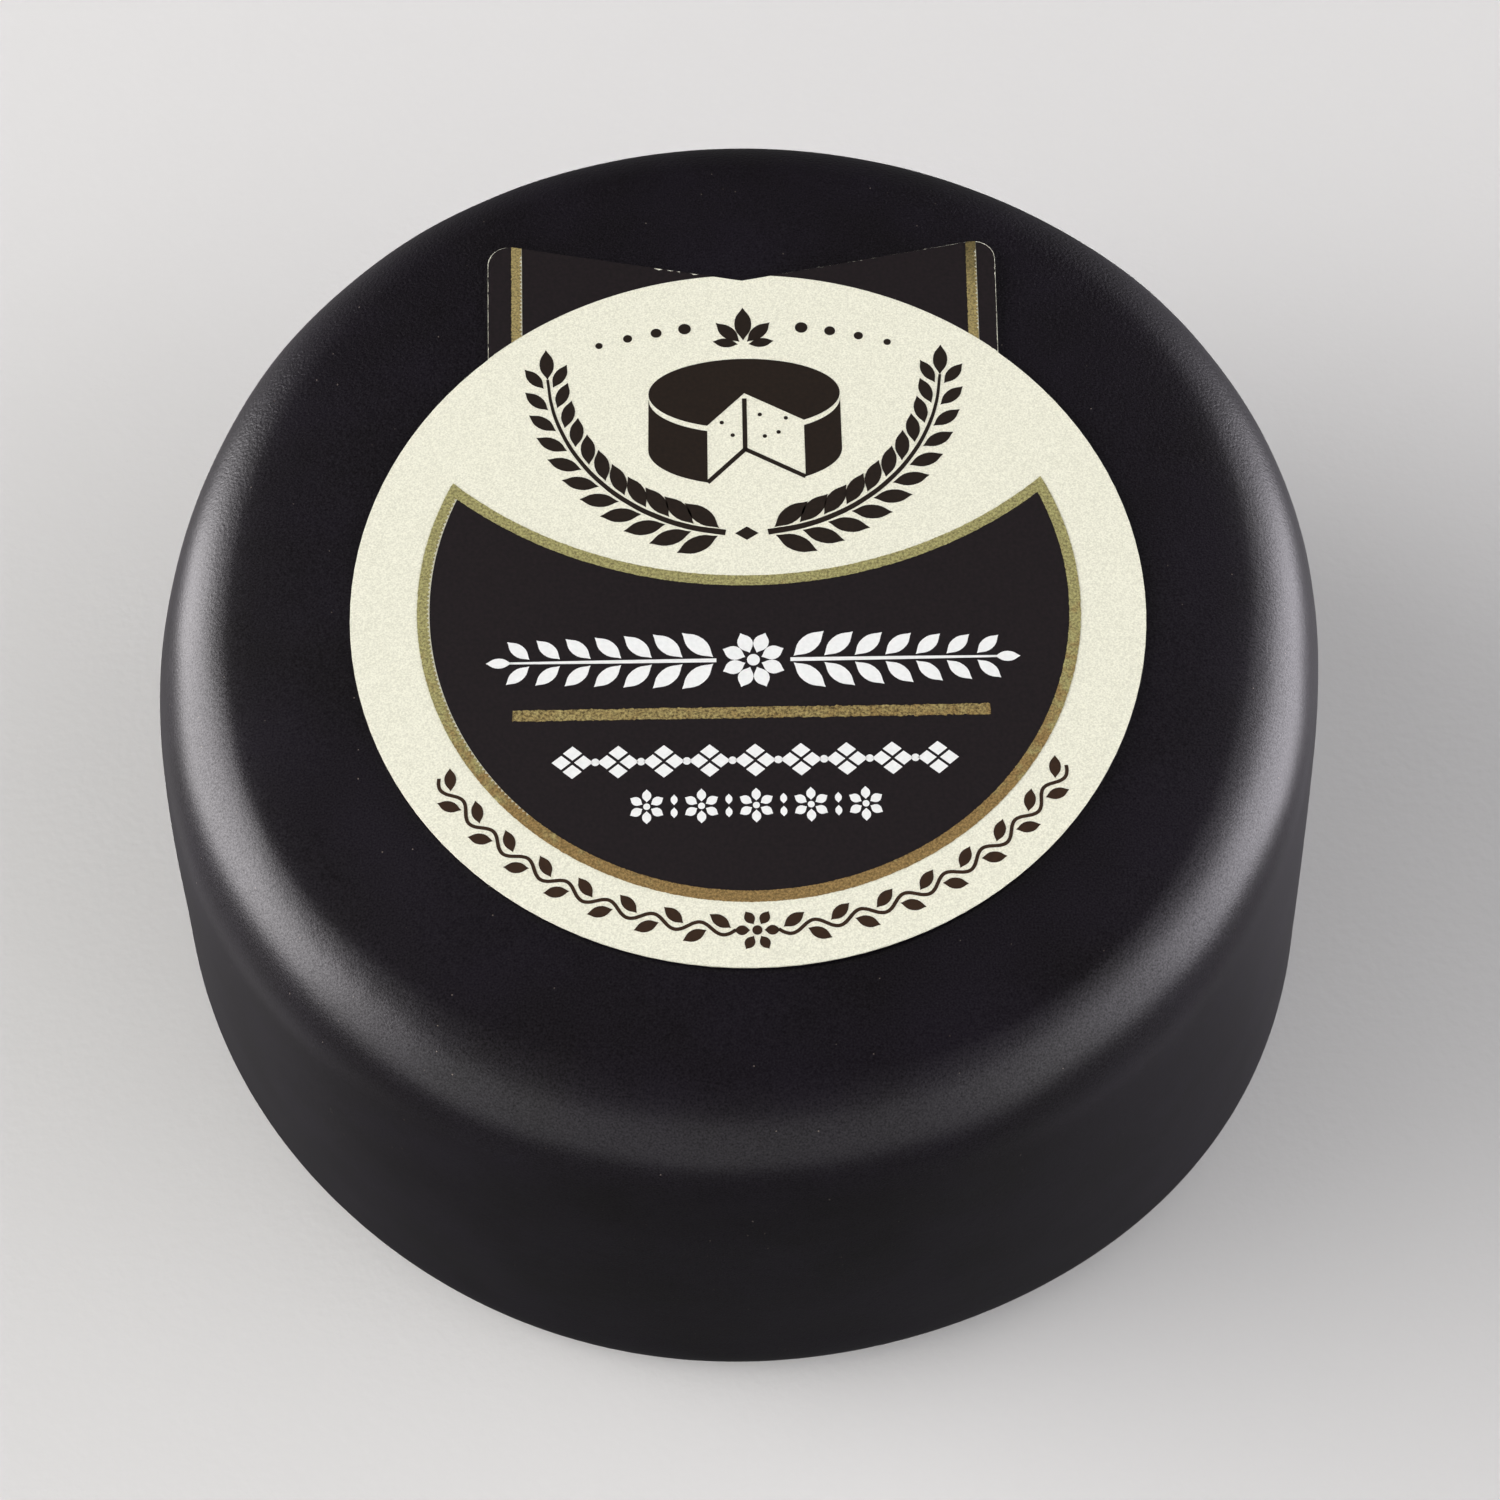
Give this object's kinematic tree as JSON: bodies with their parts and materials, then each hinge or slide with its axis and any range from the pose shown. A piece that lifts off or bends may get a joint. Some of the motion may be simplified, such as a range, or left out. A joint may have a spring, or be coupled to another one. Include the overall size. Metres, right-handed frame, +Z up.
{
  "type": "waxed cheddar truckle",
  "caption": "Small round cheddar sealed in black wax, with a rounded shoulder, a narrowing wall and a flat round paper label with a notched tab on top.",
  "frame": {"origin": "centre of the flat underside, under the middle of the cheese's bounding box", "axes": "+Z up through the label; +Y from the label's round edge towards its notched tab; +X to the right of the label's reader"},
  "size_m": [0.0848, 0.0826, 0.04],
  "materials": {
    "black_wax": "satin",
    "label_paper": "matte"
  },
  "bodies": {
    "root": {"waxed_cheese": "black_wax", "label": "label_paper"}
  },
  "joints": []
}
